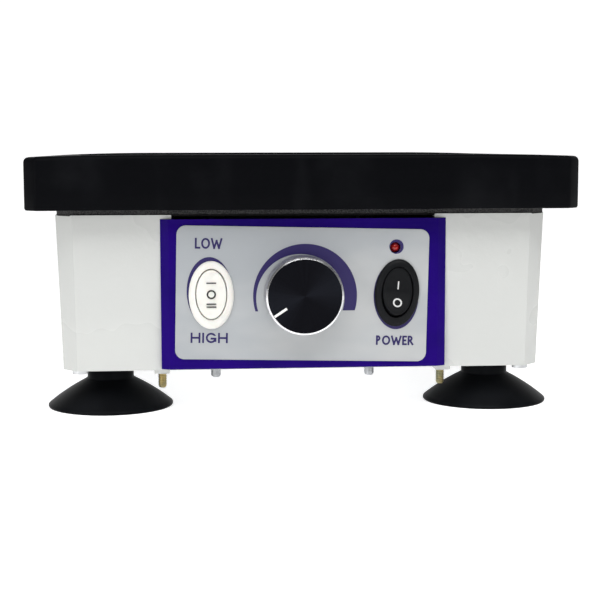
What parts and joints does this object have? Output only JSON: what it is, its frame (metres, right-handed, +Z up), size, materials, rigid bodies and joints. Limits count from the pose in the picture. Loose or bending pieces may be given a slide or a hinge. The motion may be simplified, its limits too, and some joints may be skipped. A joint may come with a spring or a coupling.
{
  "type": "vibrating table",
  "caption": "Square bench vibrating table: rubber-topped sprung platform over a white casing with control panel, on suction feet.",
  "frame": {"origin": "on the bench under the middle of the table", "axes": "+Z up, front panel faces -Y, +X to the user's right"},
  "size_m": [0.25, 0.2348, 0.119],
  "materials": {
    "cover_rubber": "satin moulded",
    "foot_rubber": "satin moulded",
    "foam": "open matte foam",
    "white_paint": "smooth gloss paint",
    "indigo_lacquer": "gloss lacquer",
    "silver_label": "satin pearl",
    "indigo_ink": "printed ink",
    "white_ink": "filled paint",
    "black_ink": "printed ink",
    "black_anodised": "turned and anodised black, bright chamfer",
    "white_plastic": "moulded",
    "black_plastic": "moulded",
    "yellow_plastic": "moulded",
    "red_lens": "translucent",
    "zinc_steel": "bright zinc plated",
    "yellow_zinc": "yellow zinc plated",
    "spring_steel": "drawn wire",
    "core_iron": "varnished laminations",
    "copper_wire": "enamelled copper",
    "bare_aluminium": "extruded",
    "brass": "drawn",
    "board_green": "solder mask",
    "fuse_glass": "clear tube"
  },
  "bodies": {
    "base": {"foam_skirt": "foam", "casing": "white_paint", "base_plate": "zinc_steel", "base_screws": "zinc_steel", "tie_rods": "yellow_zinc", "tie_rod_nuts": "yellow_zinc", "spring_deck": "zinc_steel", "foot_studs": "zinc_steel", "magnet_carrier": "zinc_steel", "carrier_screws": "zinc_steel", "magnet_core": "core_iron", "coil_bobbin": "black_plastic", "coil_winding": "copper_wire", "magnet_cleats": "zinc_steel", "cleat_screws": "zinc_steel", "front_panel": "indigo_lacquer", "panel_straps": "zinc_steel", "panel_nuts": "zinc_steel", "panel_overlay": "silver_label", "panel_print": "indigo_ink", "potentiometer_body": "zinc_steel", "mode_switch_housing": "white_plastic", "mode_switch_terminals": "brass", "power_switch_housing": "black_plastic", "power_switch_terminals": "brass", "indicator_lamp": "red_lens", "indicator_holder": "black_plastic", "control_board": "board_green", "board_standoffs": "brass", "board_screws": "zinc_steel", "heat_sink": "bare_aluminium", "triac": "black_plastic", "filter_capacitor": "yellow_plastic", "terminal_block": "white_plastic", "cable_gland": "black_plastic", "gland_dome_nut": "black_plastic", "gland_locknut": "black_plastic", "fuse_holder": "black_plastic", "fuse_cap": "black_plastic", "fuse": "fuse_glass", "spring_front_left": "spring_steel", "spring_front_right": "spring_steel", "spring_rear_left": "spring_steel", "spring_rear_right": "spring_steel", "suction_feet": "foot_rubber"},
    "platform": {"rubber_cover": "cover_rubber", "platform_pan": "zinc_steel", "platform_screws": "zinc_steel", "spring_cups": "black_plastic", "armature_bracket": "zinc_steel", "armature_core": "core_iron", "armature_bolts": "zinc_steel"},
    "strength_knob": {"knob": "black_anodised", "knob_pointer": "white_ink", "knob_grub_screw": "zinc_steel", "potentiometer_shaft": "zinc_steel"},
    "mode_switch": {"mode_rocker": "white_plastic", "mode_rocker_marks": "black_ink"},
    "power_switch": {"power_rocker": "black_plastic", "power_rocker_marks": "white_ink"}
  },
  "joints": [
    {"name": "platform_slide", "type": "slide", "parent": "base", "child": "platform", "axis": [0, 0, 1], "range_m": [-0.0008, 0.0008], "stiffness_N_per_m": 60000, "springref_m": 0.0003, "deforming": ["spring_front_left", "spring_front_right", "spring_rear_left", "spring_rear_right", "foam_skirt"]},
    {"name": "strength_knob_turn", "type": "hinge", "parent": "base", "child": "strength_knob", "pos_m": [-0.00096, -0.11, 0.056], "axis": [0, 1, 0], "range_deg": [-10, 260]},
    {"name": "mode_switch_tilt", "type": "hinge", "parent": "base", "child": "mode_switch", "pos_m": [-0.0425, -0.1011, 0.05595], "axis": [1, 0, 0], "range_deg": [-11, 11]},
    {"name": "power_switch_tilt", "type": "hinge", "parent": "base", "child": "power_switch", "pos_m": [0.0426, -0.1011, 0.05615], "axis": [0.9962, 0, -0.0872], "range_deg": [0, 22]}
  ]
}
